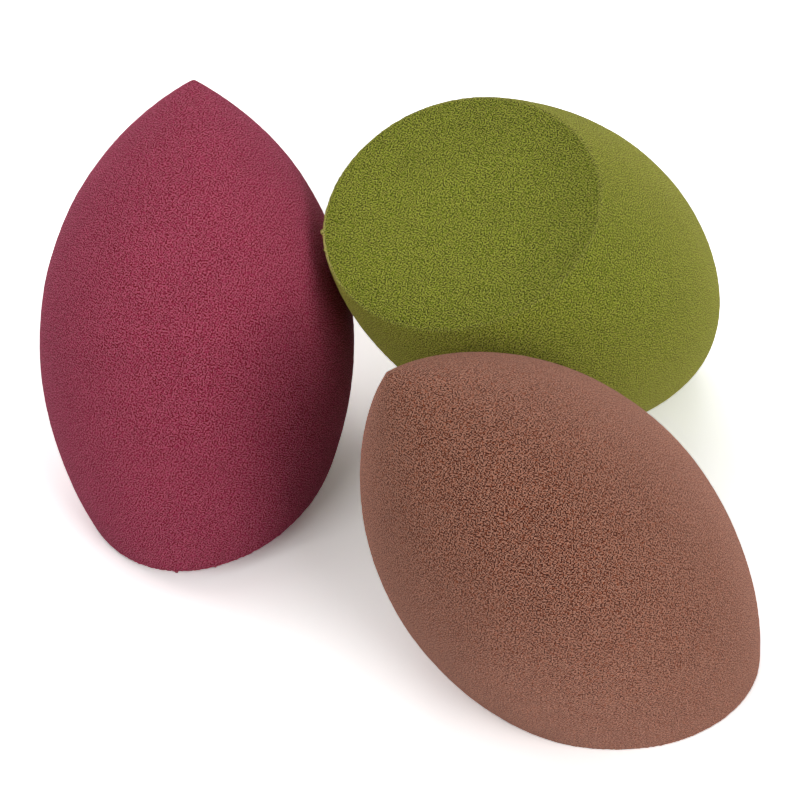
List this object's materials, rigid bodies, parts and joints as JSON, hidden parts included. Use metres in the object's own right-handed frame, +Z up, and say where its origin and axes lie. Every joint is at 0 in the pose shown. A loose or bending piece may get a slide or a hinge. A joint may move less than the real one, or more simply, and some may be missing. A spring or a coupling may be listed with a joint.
{
  "type": "makeup sponge set",
  "caption": "Pointed egg-shaped foam makeup blending sponges, each with a slanted flat cut, standing on their cuts and leaning together.",
  "frame": {"origin": "on the table, under the middle of the set's bounding box", "axes": "+Z up from the table; -Y towards the picture's viewer; +X from the burgundy sponge towards the olive and brown ones, the set's longest side"},
  "size_m": [0.0882, 0.0816, 0.0461],
  "materials": {
    "burgundy_foam": "matte fine-celled foam, velvety",
    "olive_foam": "matte fine-celled foam, velvety",
    "brown_foam": "matte fine-celled foam, velvety"
  },
  "bodies": {
    "brown": {"brown_sponge": "brown_foam"},
    "olive": {"olive_sponge": "olive_foam"},
    "burgundy": {"burgundy_sponge": "burgundy_foam"}
  },
  "joints": [
    {"name": "olive_lift", "type": "slide", "parent": "brown", "child": "olive", "axis": [0, 0, 1], "range_m": [0, 0.06]},
    {"name": "burgundy_lift", "type": "slide", "parent": "brown", "child": "burgundy", "axis": [-0.6, 0, 0.8], "range_m": [0, 0.075]}
  ]
}
